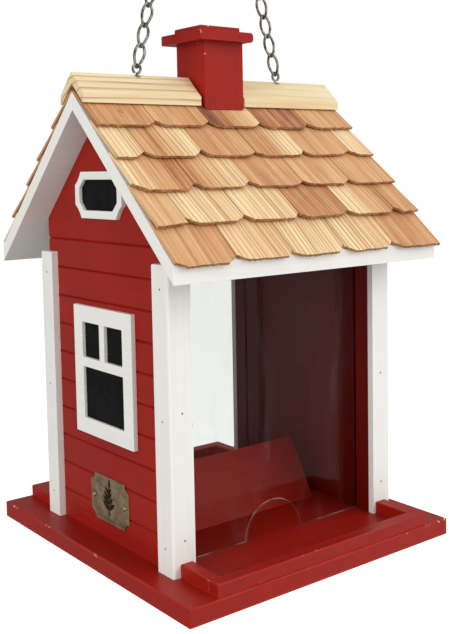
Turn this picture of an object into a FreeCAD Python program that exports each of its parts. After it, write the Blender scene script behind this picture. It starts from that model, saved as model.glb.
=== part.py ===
"""Two-sided hopper bird feeder shaped like a small farmhouse, hung on two chains.

All sizes are in millimetres. The feeder is drawn standing on z = 0, the underside of its base,
with X along the ridge, Y across the eaves and +Z up. On export everything is moved down so
that the origin is the point where the hook hangs: the inner top of its upper bow.
"""
import FreeCAD
import Part
import math
import os

Vec = FreeCAD.Vector
X_AXIS = Vec(1, 0, 0)
Y_AXIS = Vec(0, 1, 0)
Z_AXIS = Vec(0, 0, 1)

# ---- driving dimensions -------------------------------------------------------------------
BASE_X, BASE_Y, BASE_T = 254.0, 272.0, 12.7        # base board
SOFT = 1.0                                         # eased edge on sawn boards
TOUCH = 0.1                                        # how near an edge is to count as on a plane
REACH = 1.0                                        # how far a cutting tool stands past a face
RAIL_W, RAIL_H = 10.5, 9.5                         # tray rails
TRAY_X = 102.5                                     # half length of the long rails
TRAY_Y = 134.5                                     # outer face of the long rails
HOUSE_X, HOUSE_Y = 108.5, 91.5                     # half size over the corner trims
TRIM_W, TRIM_T, TRIM_TOP = 19.0, 5.4, 231.0        # L-shaped corner trims
TRIM_EASE = 2.0                                    # rounding of their outer corner
WALL_T = 9.5                                       # gable walls
GROOVE_W, GROOVE_D, GROOVE_STEP, GROOVES = 2.2, 1.3, 22.9, 10
SLIVER = 0.01                                      # how far a groove's cutter stands out of the wall
PANEL_T, PANEL_Y, PANEL_TOP = 2.0, 70.6, 262.0     # clear panels
PANEL_GAP = 0.3                                    # play of a panel in its channel
ARCH_R = 27.0                                      # seed outlet
CLEAT_TOP, CLEAT_IN = 240.0, 16.0                  # channel cleats: top, width of the inner one
BAFFLE_X, BAFFLE_Y, BAFFLE_TOP, BAFFLE_T = 81.0, 28.0, 60.0, 6.0
ROOF_X, ROOF_EAVE, RIDGE_Z = 126.0, 124.5, 353.0   # half length, half span, outer ridge height
ROOF_T, PITCH = 9.5, math.atan(0.95)               # roof board thickness and slope
ROWS, FIRST_BUTT, EXPOSURE, LAP = 5, 43.4, 33.2, 10.0   # shingle courses, measured down the slope
HEAD_T, BUTT_T, BUTT_LIFT = 2.0, 3.6, 3.2          # shingle thicknesses and lift on the row below
SHINGLES, SHINGLE_GAP = 5, 0.8                     # full shingles in a course, gap between two
CORNER_X, CORNER_S = 8.0, 5.5                      # cut corners of a shingle
BUTT_FLAT = 4.0                                    # least straight butt between two cut corners
HEAD_START = 0.4                                   # least distance of a shingle's head from the ridge
CUT_UNDER, CUT_OVER = 5.0, 20.0                    # depth and height of the corner cutters
CAP_Y, CAP_TOP, CAP_SIDE, CAP_LIP = 17.0, 367.5, 344.5, 1.5   # ridge caps
CAP_END = 21.5                                     # where the caps stop beside the chimney
COLUMN, COLUMN_TOP, COLUMN_FOOT = 19.0, 394.5, 342.0   # chimney column half width, top, side foot
CROWN_X, CROWN_Y, CROWN_T = 25.7, 27.0, 7.6        # chimney crown
CROWN_EASE = 3.0                                   # rounding of its far edge
PLATE_X, PLATE_Y, PLATE_T = 19.3, 17.5, 4.8        # plate on the crown
TOP_SHIFT = -2.1                                   # both sit this much nearer the near gable
PLUG, PLUG_BOTTOM, FILL_HOLE = 14.0, 318.0, 15.0   # chimney plug half width, bottom, hole half width
WINDOW_Y, WINDOW_LOW, WINDOW_HIGH, FRAME_T = 41.7, 91.5, 192.0, 4.0
LIGHT_Y, MULLION = 29.0, 3.6                       # half width of the lights, half mullion
LIGHTS_LOW = (104.0, 144.3)                        # z span of the lower light
LIGHTS_HIGH = (151.7, 179.3)                       # z span of the two upper lights
PANE_T, PANE_LAP, PANE_PLAY = 1.0, 3.0, 0.1        # black panes behind the frames
VENT_Y, VENT_Z, VENT_MID = 33.6, 17.7, 277.3       # gable window half sizes, centre height
VENT_CUT_Y, VENT_CUT_Z, VENT_BOW = 8.6, 10.0, 1.0    # its hollow corners
VENT_LIGHT_Y, VENT_LIGHT_Z, VENT_BEVEL = 27.3, 11.6, 6.5
PLAQUE_Y, PLAQUE_LOW, PLAQUE_HIGH, PLAQUE_T, PLAQUE_R = 27.3, 25.2, 61.4, 1.0, 6.0
PLAQUE_NAIL_Y, NAIL_HEAD_R, NAIL_R, NAIL_L = 22.4, 1.7, 0.7, 8.0
BRAD_R, BRAD_L = 0.65, 12.0                        # brads in the corner trims
BRAD_HEIGHTS = (32.0, 122.0, 214.0)
BRAD_OFFSET = 6.0                                  # brads on the Y faces stand this much higher
SCREW_R, SCREW_HEAD_R, SCREW_L, SCREW_Y = 1.75, 3.4, 32.0, 52.0   # base screws
EYE_X, EYE_R, EYE_WIRE, EYE_SHANK = 69.5, 3.4, 1.0, 30.0   # screw eyes in the ridge
EYE_GAP = 0.3                                      # daylight between an eye and the ridge cap
LINK_IN, LINK_W, LINK_WIRE, LINKS = 16.1, 2.65, 1.1, 17    # link inner length, inner half width
LINK_STEP = 16.0                                   # distance between neighbouring links
PIVOT_GAP = 0.15                                   # play where chain, ring and hook hang
RING_R, RING_WIRE = 13.0, 1.5                      # ring over the chains
HOOK_R, HOOK_WIRE, HOOK_OPEN = 8.0, 1.75, 25.0     # S-hook bows and their opening, in degrees
FIT = 0.05                                         # play round brads, nails and screws

# ---- worked out from them -----------------------------------------------------------------
SLOPE = math.tan(PITCH)
ROOF_DROP = ROOF_T / math.cos(PITCH)
RIDGE_IN = RIDGE_Z - ROOF_DROP
WALL_OUT = HOUSE_X - TRIM_T
WALL_IN = WALL_OUT - WALL_T
WALL_Y = HOUSE_Y - TRIM_T
EYE_Z = CAP_TOP + EYE_GAP + EYE_R + EYE_WIRE
CHAIN_END = LINK_IN / 2 - PIVOT_GAP
CHAIN_SPAN = (LINKS - 1) * LINK_STEP + 2 * CHAIN_END - EYE_WIRE - RING_WIRE
LEAN = math.asin(EYE_X / (EYE_R + CHAIN_SPAN + RING_R))   # each chain lies on a line of centres
EYE_PIVOT_Z = EYE_Z + EYE_R * math.cos(LEAN)
RING_PIVOT_Z = EYE_PIVOT_Z + CHAIN_SPAN * math.cos(LEAN)
RING_Z = RING_PIVOT_Z + RING_R * math.cos(LEAN)
HOOK_LOW_Z = RING_Z + RING_R - RING_WIRE - HOOK_WIRE - PIVOT_GAP
HOOK_HIGH_Z = HOOK_LOW_Z + 4 * HOOK_R
HANG_Z = HOOK_HIGH_Z - HOOK_WIRE
SIDES = (("near", -1), ("far", 1))                 # gable ends
SLOPES = (("front", -1), ("back", 1))              # eave sides

nodes = {}


def keep(name, *solids):
    """Store one node, a single solid or a group of separate ones, in the hanging frame."""
    shape = solids[0] if len(solids) == 1 else Part.makeCompound(list(solids))
    shape.translate(Vec(0, 0, -HANG_Z))
    nodes[name] = shape


def block(x0, x1, y0, y1, z0, z1):
    """A box between two corners given in any order."""
    size = (abs(x1 - x0), abs(y1 - y0), abs(z1 - z0))
    return Part.makeBox(*size, Vec(min(x0, x1), min(y0, y1), min(z0, z1)))


def along_x(points, x0, x1):
    """A prism of a closed (y, z) outline between two x planes."""
    ring = [Vec(x0, y, z) for y, z in points]
    return Part.Face(Part.makePolygon(ring + ring[:1])).extrude(Vec(x1 - x0, 0, 0))


def rod(start, direction, radius, length):
    """A round rod."""
    return Part.makeCylinder(radius, length, start, direction)


def ease(shape, radius, wanted):
    """Round the edges whose middle point passes a test."""
    edges = [edge for edge in shape.Edges if wanted(edge.CenterOfMass)]
    return shape.makeFillet(radius, edges)


def near(value, place):
    """Whether a coordinate lies on a plane or on its mirror image."""
    return abs(abs(value) - abs(place)) < TOUCH


def cut_all(shape, tools):
    """Cut several tools out of a shape."""
    return shape.cut(Part.makeCompound(tools)) if tools else shape


# ---- fasteners that pass through several boards -------------------------------------------
def brad_places():
    """Start point and inward direction of each brad in the corner trims."""
    places = []
    for _, end in SIDES:
        for _, side in SLOPES:
            for z in BRAD_HEIGHTS:
                face = Vec(end * HOUSE_X, side * (HOUSE_Y - TRIM_W / 2), z)
                edge = Vec(end * (WALL_OUT - WALL_T / 2), side * HOUSE_Y, z + BRAD_OFFSET)
                places.append((face, Vec(-end, 0, 0)))
                places.append((edge, Vec(0, -side, 0)))
    return places


def brad_rods(play):
    """All brads, or their holes when play is added."""
    return [rod(start, way, BRAD_R + play, BRAD_L + play) for start, way in brad_places()]


def screw_rods(play):
    """The four countersunk screws that come up through the base into the gable walls."""
    screws = []
    for _, end in SIDES:
        for side in (-1, 1):
            foot = Vec(end * (WALL_OUT - WALL_T / 2), side * SCREW_Y, 0)
            shank = rod(foot, Z_AXIS, SCREW_R + play, SCREW_L + play)
            head = Part.makeCone(SCREW_HEAD_R + play, SCREW_R + play, SCREW_HEAD_R - SCREW_R, foot, Z_AXIS)
            screws.append(shank.fuse(head))
    return screws


def plaque_nails(play):
    """The two domed nails of the plaque."""
    nails = []
    middle = (PLAQUE_LOW + PLAQUE_HIGH) / 2
    for side in (-1, 1):
        face = Vec(-WALL_OUT - PLAQUE_T, side * PLAQUE_NAIL_Y, middle)
        shank = rod(face, X_AXIS, NAIL_R + play, NAIL_L + play)
        if play:
            nails.append(shank)
            continue
        dome = Part.makeSphere(NAIL_HEAD_R, face, Vec(-1, 0, 0), 0, 90)
        nails.append(shank.fuse(dome))
    return nails


def eye_shanks(play):
    """The threaded shanks of the two screw eyes."""
    top = EYE_Z - EYE_R
    return [rod(Vec(x, 0, top), Vec(0, 0, -1), EYE_WIRE + play, EYE_SHANK) for x in (-EYE_X, EYE_X)]


# ---- base ---------------------------------------------------------------------------------
def base():
    board = block(-BASE_X / 2, BASE_X / 2, -BASE_Y / 2, BASE_Y / 2, 0, BASE_T)
    board = ease(board, SOFT, lambda c: near(c.z, BASE_T) or near(c.z, BASE_T / 2))
    keep("base_board", cut_all(board, screw_rods(FIT)))
    for slope, side in SLOPES:
        top = BASE_T + RAIL_H
        inner = TRAY_Y - RAIL_W
        rail = block(-TRAY_X, TRAY_X, side * inner, side * TRAY_Y, BASE_T, top)
        rail = ease(rail, SOFT, lambda c: near(c.z, top))
        keep(slope + "_tray_rail", rail)
        for end, way in SIDES:
            piece = block(way * (TRAY_X - RAIL_W), way * TRAY_X, side * HOUSE_Y, side * inner, BASE_T, top)
            middle = (HOUSE_Y + inner) / 2
            piece = ease(piece, SOFT, lambda c: near(c.z, top) and near(c.y, middle))
            keep(slope + "_tray_end_" + end, piece)


# ---- house --------------------------------------------------------------------------------
def gable_wall(end):
    """One grooved gable wall, cut to the slope of the roof at its top."""
    shoulder = RIDGE_IN - SLOPE * WALL_Y
    outline = [(-WALL_Y, BASE_T), (WALL_Y, BASE_T), (WALL_Y, shoulder), (0, RIDGE_IN), (-WALL_Y, shoulder)]
    wall = along_x(outline, end * WALL_IN, end * WALL_OUT)
    grooves = []
    for number in range(1, GROOVES + 1):
        z = BASE_T + number * GROOVE_STEP
        mouth, root = end * (WALL_OUT + SLIVER), end * (WALL_OUT - GROOVE_D)
        corners = [Vec(mouth, -BASE_Y / 2, z - GROOVE_W / 2), Vec(mouth, -BASE_Y / 2, z + GROOVE_W / 2)]
        corners.append(Vec(root, -BASE_Y / 2, z))
        grooves.append(Part.Face(Part.makePolygon(corners + corners[:1])).extrude(Vec(0, BASE_Y, 0)))
    tools = grooves + brad_rods(FIT) + screw_rods(FIT)
    if end < 0:
        tools = tools + plaque_nails(FIT)
    return cut_all(wall, tools)


def corner_trim(end, side):
    """An L-shaped corner trim that wraps the end of a gable wall."""
    inner_x, inner_y = HOUSE_X - TRIM_W, HOUSE_Y - TRIM_W
    outer = block(end * HOUSE_X, end * inner_x, side * HOUSE_Y, side * inner_y, BASE_T, TRIM_TOP)
    outer = ease(outer, TRIM_EASE, lambda c: near(c.x, HOUSE_X) and near(c.y, HOUSE_Y))
    outer = ease(outer, SOFT, lambda c: near(c.z, TRIM_TOP))
    inside = block(end * WALL_OUT, 0, side * WALL_Y, 0, 0, TRIM_TOP + REACH)
    return cut_all(outer.cut(inside), brad_rods(FIT))


def clear_panel(side):
    """A clear sheet with a half-round seed outlet at its foot."""
    half = WALL_IN - PANEL_GAP
    inner, outer = PANEL_Y - PANEL_T / 2, PANEL_Y + PANEL_T / 2
    sheet = block(-half, half, side * inner, side * outer, BASE_T, PANEL_TOP)
    arch = rod(Vec(0, -HOUSE_Y, BASE_T), Y_AXIS, ARCH_R, 2 * HOUSE_Y)
    return sheet.cut(arch)


def channel_cleats(end, side):
    """The two strips that hold the edge of a clear panel."""
    x0, x1 = end * WALL_IN, end * (HOUSE_X - TRIM_W)
    slot_out = PANEL_Y + PANEL_T / 2 + PANEL_GAP
    slot_in = PANEL_Y - PANEL_T / 2 - PANEL_GAP
    outer = block(x0, x1, side * WALL_Y, side * slot_out, BASE_T, CLEAT_TOP)
    inner = block(x0, x1, side * slot_in, side * (slot_in - CLEAT_IN), BASE_T, CLEAT_TOP)
    return outer, inner


def baffle_board(side):
    """One of the two sloping boards that send the seed out to the trays."""
    fall = BAFFLE_TOP - BASE_T
    length = math.hypot(BAFFLE_Y, fall)
    top_in = BAFFLE_TOP - BAFFLE_T * length / BAFFLE_Y
    foot_in = BAFFLE_Y - BAFFLE_T * length / fall
    outline = [(0, BAFFLE_TOP), (side * BAFFLE_Y, BASE_T), (side * foot_in, BASE_T), (0, top_in)]
    return along_x(outline, -BAFFLE_X, BAFFLE_X)


def house():
    for end, way in SIDES:
        keep(end + "_gable_wall", gable_wall(way))
        for slope, side in SLOPES:
            keep(slope + "_corner_trim_" + end, corner_trim(way, side))
            keep(slope + "_panel_cleats_" + end, *channel_cleats(way, side))
    for slope, side in SLOPES:
        keep(slope + "_clear_panel", clear_panel(side))
        keep(slope + "_baffle_board", baffle_board(side))
    keep("trim_brads", *brad_rods(0))
    keep("base_screws", *screw_rods(0))


# ---- windows and plaque -------------------------------------------------------------------
def on_wall(end, depth0, depth1):
    """The x planes of something that stands out from a gable wall."""
    return end * (WALL_OUT + depth0), end * (WALL_OUT + depth1)


def wall_block(end, depth0, depth1, y, z0, z1):
    """A box on a gable wall, centred across it."""
    x0, x1 = on_wall(end, depth0, depth1)
    return block(x0, x1, -y, y, z0, z1)


def window_frame(end):
    """The main window's frame, with two upper lights and one lower."""
    frame = wall_block(end, 0, FRAME_T, WINDOW_Y, WINDOW_LOW, WINDOW_HIGH)
    frame = ease(frame, SOFT / 2, lambda c: near(c.x, WALL_OUT + FRAME_T))
    x0, x1 = on_wall(end, -REACH, FRAME_T + REACH)
    holes = [block(x0, x1, -LIGHT_Y, LIGHT_Y, *LIGHTS_LOW)]
    for side in (-1, 1):
        holes.append(block(x0, x1, side * MULLION, side * LIGHT_Y, *LIGHTS_HIGH))
    return cut_all(frame, holes + [window_pane(end, PANE_PLAY)])


def window_pane(end, play=0.0):
    """The black pane let into the back of the main window's frame."""
    y = LIGHT_Y + PANE_LAP + play
    low, high = LIGHTS_LOW[0] - PANE_LAP - play, LIGHTS_HIGH[1] + PANE_LAP + play
    return wall_block(end, 0, PANE_T + play, y, low, high)


def hollow_corner_face(x, half_y, half_z, mid_z, cut_y, cut_z, bow):
    """A rectangle whose four corners are cut by shallow inward arcs."""
    edges = []
    last = None
    first = None
    for sy, sz in ((1, 1), (1, -1), (-1, -1), (-1, 1)):
        beside = Vec(x, sy * (half_y - cut_y), mid_z + sz * half_z)
        below = Vec(x, sy * half_y, mid_z + sz * (half_z - cut_z))
        start, end = (beside, below) if sy == sz else (below, beside)
        inward = Vec(0, -sy * cut_z, -sz * cut_y).normalize()
        middle = (start + end) * 0.5 + inward * bow
        if last:
            edges.append(Part.LineSegment(last, start).toShape())
        edges.append(Part.Arc(start, middle, end).toShape())
        first = first or start
        last = end
    edges.append(Part.LineSegment(last, first).toShape())
    return Part.Face(Part.Wire(edges))


def octagon(half_y, half_z, bevel, mid_z):
    """The (y, z) outline of a rectangle with bevelled corners."""
    corners = []
    for sy, sz in ((1, 1), (1, -1), (-1, -1), (-1, 1)):
        beside = (sy * (half_y - bevel), mid_z + sz * half_z)
        below = (sy * half_y, mid_z + sz * (half_z - bevel))
        pair = [beside, below]
        corners += pair if sy == sz else pair[::-1]
    return corners


def gable_window_pane(end, play=0.0):
    """The black pane behind the gable window."""
    x0, x1 = on_wall(end, 0, PANE_T + play)
    grow = PANE_LAP + play
    return along_x(octagon(VENT_LIGHT_Y + grow, VENT_LIGHT_Z + grow, VENT_BEVEL, VENT_MID), x0, x1)


def gable_window_frame(end):
    """The small window high in the gable: hollow outer corners round an eight-sided light."""
    x0, x1 = on_wall(end, 0, FRAME_T)
    face = hollow_corner_face(x0, VENT_Y, VENT_Z, VENT_MID, VENT_CUT_Y, VENT_CUT_Z, VENT_BOW)
    frame = face.extrude(Vec(x1 - x0, 0, 0))
    light = along_x(octagon(VENT_LIGHT_Y, VENT_LIGHT_Z, VENT_BEVEL, VENT_MID), x0 - end, x1 + end)
    return cut_all(frame, [light, gable_window_pane(end, PANE_PLAY)])


def plaque():
    """The thin metal plaque under the near window, with scooped corners."""
    outer, back = -WALL_OUT - PLAQUE_T, -WALL_OUT
    plate = block(outer, back, -PLAQUE_Y, PLAQUE_Y, PLAQUE_LOW, PLAQUE_HIGH)
    scoops = []
    for y in (-PLAQUE_Y, PLAQUE_Y):
        for z in (PLAQUE_LOW, PLAQUE_HIGH):
            scoops.append(rod(Vec(outer - REACH, y, z), X_AXIS, PLAQUE_R, PLAQUE_T + 2 * REACH))
    return cut_all(plate, scoops + plaque_nails(FIT))


def wall_fittings():
    for end, way in SIDES:
        keep(end + "_window_frame", window_frame(way))
        keep(end + "_window_pane", window_pane(way))
        keep(end + "_gable_window_frame", gable_window_frame(way))
        keep(end + "_gable_window_pane", gable_window_pane(way))
    keep("plaque", plaque())
    keep("plaque_nails", *plaque_nails(0))


# ---- roof ---------------------------------------------------------------------------------
def on_slope(side, along, height):
    """The (y, z) point at a distance down a roof slope and a height square to it."""
    y = along * math.cos(PITCH) + height * math.sin(PITCH)
    return side * y, RIDGE_Z - along * math.sin(PITCH) + height * math.cos(PITCH)


def fill_hole():
    """The square hole through the ridge that the chimney's plug closes."""
    return block(-FILL_HOLE, FILL_HOLE, -FILL_HOLE, FILL_HOLE, PLUG_BOTTOM - REACH, CAP_TOP)


def roof_board(side):
    """One roof board, mitred at the ridge and cut upright at the eave."""
    eave = RIDGE_Z - SLOPE * ROOF_EAVE
    outline = [(0, RIDGE_Z), (side * ROOF_EAVE, eave), (side * ROOF_EAVE, eave - ROOF_DROP), (0, RIDGE_IN)]
    board = along_x(outline, -ROOF_X, ROOF_X)
    return cut_all(board, [fill_hole()] + eye_shanks(FIT))


def course_joints(row):
    """The x places where the shingles of a course meet: odd courses start with a half shingle."""
    width = 2 * ROOF_X / SHINGLES
    if row % 2 == 0:
        return [-ROOF_X + width * number for number in range(SHINGLES + 1)]
    return [-ROOF_X] + [-ROOF_X + width * (number + 0.5) for number in range(SHINGLES)] + [ROOF_X]


def shingle(side, row, x0, x1):
    """One tapered shingle with its lower corners cut off, but square where the roof ends."""
    butt = FIRST_BUTT + row * EXPOSURE
    head = max(butt - EXPOSURE - LAP, HEAD_START)
    lift = 0.0 if row == ROWS - 1 else BUTT_LIFT
    profile = [on_slope(side, head, 0), on_slope(side, butt, lift)]
    profile += [on_slope(side, butt, lift + BUTT_T), on_slope(side, head, HEAD_T)]
    profile = [(max(y * side, 0) * side, z) for y, z in profile]
    body = along_x(profile, x0, x1)
    corners = []
    for x, way in ((x0, 1), (x1, -1)):
        if abs(x) > ROOF_X - SHINGLE_GAP:
            continue
        reach = min(CORNER_X, (x1 - x0 - BUTT_FLAT) / 2)
        outline = [(-REACH, CORNER_S + REACH), (0, CORNER_S), (reach, 0), (reach + REACH, -REACH)]
        edge = []
        for dx, ds in outline + [(-REACH, -REACH)]:
            y, z = on_slope(side, butt - ds, -CUT_UNDER)
            edge.append(Vec(x + way * dx, y, z))
        y, z = on_slope(side, 0, CUT_OVER)
        base_y, base_z = on_slope(side, 0, 0)
        cutter = Part.Face(Part.makePolygon(edge + edge[:1]))
        corners.append(cutter.extrude(Vec(0, y - base_y, z - base_z)))
    return cut_all(body, corners)


def shingle_course(side, row):
    """All the shingles of one course, as separate solids."""
    joints = course_joints(row)
    pieces = []
    for left, right in zip(joints, joints[1:]):
        piece = shingle(side, row, left + SHINGLE_GAP / 2, right - SHINGLE_GAP / 2)
        if row == 0:
            piece = cut_all(piece, [fill_hole()] + eye_shanks(FIT))
        pieces.append(piece)
    return pieces


def ridge_cap(end):
    """One length of ridge cap, hollowed in a V underneath."""
    shoulder = CAP_TOP - SLOPE * CAP_Y
    hollow = CAP_SIDE + SLOPE * (CAP_Y - CAP_LIP)
    half = [(CAP_Y, shoulder), (CAP_Y, CAP_SIDE), (CAP_Y - CAP_LIP, CAP_SIDE)]
    mirrored = [(-y, z) for y, z in half[::-1]]
    cap = along_x([(0, CAP_TOP)] + half + [(0, hollow)] + mirrored, end * CAP_END, end * ROOF_X)
    return cut_all(cap, eye_shanks(FIT))


def roof():
    for slope, side in SLOPES:
        keep(slope + "_roof_board", roof_board(side))
        for row in range(ROWS):
            keep("%s_shingle_course_%d" % (slope, row + 1), *shingle_course(side, row))
    for end, way in SIDES:
        keep(end + "_ridge_cap", ridge_cap(way))


# ---- chimney ------------------------------------------------------------------------------
def chimney():
    """The lift-off chimney: column, crown, top plate and the plug that closes the fill hole."""
    peak = COLUMN_FOOT + SLOPE * COLUMN
    outline = [(-COLUMN, COLUMN_FOOT), (0, peak), (COLUMN, COLUMN_FOOT)]
    outline += [(COLUMN, COLUMN_TOP), (-COLUMN, COLUMN_TOP)]
    column = along_x(outline, -COLUMN, COLUMN)
    column = ease(column, SOFT / 2, lambda c: near(c.x, COLUMN) and near(c.y, COLUMN))
    keep("chimney_column", column)
    crown_top = COLUMN_TOP + CROWN_T
    far_edge = TOP_SHIFT + CROWN_X
    crown = block(TOP_SHIFT - CROWN_X, far_edge, -CROWN_Y, CROWN_Y, COLUMN_TOP, crown_top)
    crown = ease(crown, CROWN_EASE, lambda c: near(c.x, far_edge) and not near(c.y, CROWN_Y))
    keep("chimney_crown", crown)
    plate_top = crown_top + PLATE_T
    plate = block(TOP_SHIFT - PLATE_X, TOP_SHIFT + PLATE_X, -PLATE_Y, PLATE_Y, crown_top, plate_top)
    keep("chimney_top_plate", ease(plate, SOFT, lambda c: near(c.z, plate_top)))
    side = COLUMN_FOOT + SLOPE * (COLUMN - PLUG)
    outline = [(-PLUG, PLUG_BOTTOM), (PLUG, PLUG_BOTTOM), (PLUG, side), (0, peak), (-PLUG, side)]
    keep("chimney_plug", along_x(outline, -PLUG, PLUG))


# ---- hanger -------------------------------------------------------------------------------
def bow(centre, start, axis, wire, degrees):
    """A round wire bent along an arc that begins at a start point."""
    outward = start - centre
    tangent = axis.cross(outward)
    section = Part.Face(Part.Wire(Part.makeCircle(wire, start, tangent)))
    return section.revolve(centre, axis, degrees)


def link():
    """A chain link along Z, flat in the XZ plane, centred on the origin."""
    reach = LINK_IN / 2 - LINK_W
    side = LINK_W + LINK_WIRE
    top = bow(Vec(0, 0, reach), Vec(side, 0, reach), Vec(0, -1, 0), LINK_WIRE, 180)
    foot = bow(Vec(0, 0, -reach), Vec(-side, 0, -reach), Vec(0, -1, 0), LINK_WIRE, 180)
    bars = [rod(Vec(x, 0, -reach), Z_AXIS, LINK_WIRE, 2 * reach) for x in (-side, side)]
    return top.multiFuse([foot] + bars).removeSplitter()


def chain(end):
    """One chain: links turned a quarter from one to the next, from the screw eye to the ring."""
    direction = Vec(-end * math.sin(LEAN), 0, math.cos(LEAN))
    foot = Vec(end * EYE_X, 0, EYE_Z) + direction * EYE_R
    pieces = []
    for number in range(LINKS):
        piece = link()
        if number % 2 == 0:
            piece.rotate(Vec(0, 0, 0), Z_AXIS, 90)
        piece.rotate(Vec(0, 0, 0), Y_AXIS, -end * math.degrees(LEAN))
        piece.translate(foot + direction * (CHAIN_END - EYE_WIRE + number * LINK_STEP))
        pieces.append(piece)
    return pieces


def hanging_hook():
    """An S-shaped hook: its lower bow holds the ring and its upper bow goes over a branch or bracket."""
    low = Vec(0, 0, HOOK_LOW_Z + HOOK_R)
    high = Vec(0, 0, HOOK_LOW_Z + 3 * HOOK_R)
    joint = Vec(0, 0, HOOK_LOW_Z + 2 * HOOK_R)
    sweep = 270 - HOOK_OPEN
    parts = [bow(low, joint, X_AXIS, HOOK_WIRE, -sweep), bow(high, joint, X_AXIS, HOOK_WIRE, -sweep)]
    for centre in (low, high):
        tip = joint - centre
        tip = FreeCAD.Rotation(X_AXIS, -sweep).multVec(tip) + centre
        parts.append(Part.makeSphere(HOOK_WIRE, tip))
    return parts[0].multiFuse(parts[1:]).removeSplitter()


def hanger():
    shanks = eye_shanks(0)
    for (end, way), shank in zip(SIDES, shanks):
        eye = Part.makeTorus(EYE_R, EYE_WIRE, Vec(way * EYE_X, 0, EYE_Z), Y_AXIS)
        keep(end + "_screw_eye", eye.fuse(shank).removeSplitter())
        keep(end + "_chain", *chain(way))
    keep("hanging_ring", Part.makeTorus(RING_R, RING_WIRE, Vec(0, 0, RING_Z), Y_AXIS))
    keep("hanging_hook", hanging_hook())


def main():
    base()
    house()
    wall_fittings()
    roof()
    chimney()
    hanger()
    os.makedirs("parts", exist_ok=True)
    for name, shape in nodes.items():
        shape.exportStep("parts/" + name + ".step")
        solids = len(shape.Solids)
        print("%-26s solids %2d volume %10.1f valid %s" % (name, solids, shape.Volume, shape.isValid()))
    print(len(nodes), "nodes")
    print("hang point above the underside", round(HANG_Z, 2))
    print("hook pivot", round(HOOK_LOW_Z - HANG_Z, 2))
    print("ring pivot", round(RING_PIVOT_Z - HANG_Z, 2), "eye pivot", round(EYE_PIVOT_Z - HANG_Z, 2))


main()
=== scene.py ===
"""Hanging hopper bird feeder shaped like a small red farmhouse: its fine shapes and its finishes.

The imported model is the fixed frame. Everything is in metres in that frame: the origin is the
point that the hook hangs from, X runs along the ridge, -Y is the front and +Z is up.
"""
import logging
import math
from dataclasses import dataclass, field
from enum import Enum
from typing import Iterable, Sequence, Union

import bmesh
import bpy
import numpy as np
from mathutils import Matrix, Vector


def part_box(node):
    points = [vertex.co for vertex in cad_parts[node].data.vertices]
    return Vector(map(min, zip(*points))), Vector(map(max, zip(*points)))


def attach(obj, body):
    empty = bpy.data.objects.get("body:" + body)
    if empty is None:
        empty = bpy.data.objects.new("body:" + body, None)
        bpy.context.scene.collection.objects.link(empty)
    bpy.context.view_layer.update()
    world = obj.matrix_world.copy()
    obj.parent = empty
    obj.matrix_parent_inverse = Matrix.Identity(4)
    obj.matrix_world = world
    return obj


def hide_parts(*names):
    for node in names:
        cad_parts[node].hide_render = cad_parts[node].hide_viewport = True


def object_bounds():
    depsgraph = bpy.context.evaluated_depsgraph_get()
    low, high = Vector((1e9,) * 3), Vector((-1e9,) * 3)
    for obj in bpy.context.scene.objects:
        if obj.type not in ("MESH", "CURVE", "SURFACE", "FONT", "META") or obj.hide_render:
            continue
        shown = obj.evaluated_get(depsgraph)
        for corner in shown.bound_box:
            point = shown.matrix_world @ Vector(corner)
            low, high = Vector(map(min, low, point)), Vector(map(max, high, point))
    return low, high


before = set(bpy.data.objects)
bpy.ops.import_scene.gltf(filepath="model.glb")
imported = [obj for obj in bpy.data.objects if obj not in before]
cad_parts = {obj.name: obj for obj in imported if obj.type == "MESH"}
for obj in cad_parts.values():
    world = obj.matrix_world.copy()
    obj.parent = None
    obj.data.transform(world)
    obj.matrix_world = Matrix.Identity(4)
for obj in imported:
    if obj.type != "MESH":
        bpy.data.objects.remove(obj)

LOG = logging.getLogger("feeder")
CAD_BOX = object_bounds()
MM = 0.001
SAME_POINT = 1e-6

Triple = tuple[float, float, float]
Colour = tuple[float, float, float, float]
Faces = list[Sequence[int]]
Material = bpy.types.Material
Piece = bpy.types.Object
Socket = bpy.types.NodeSocket
Feed = Union[float, Sequence[float], Socket]
Feeds = dict[Union[str, int], Feed]
Stops = Sequence[tuple[float, Colour]]


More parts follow.
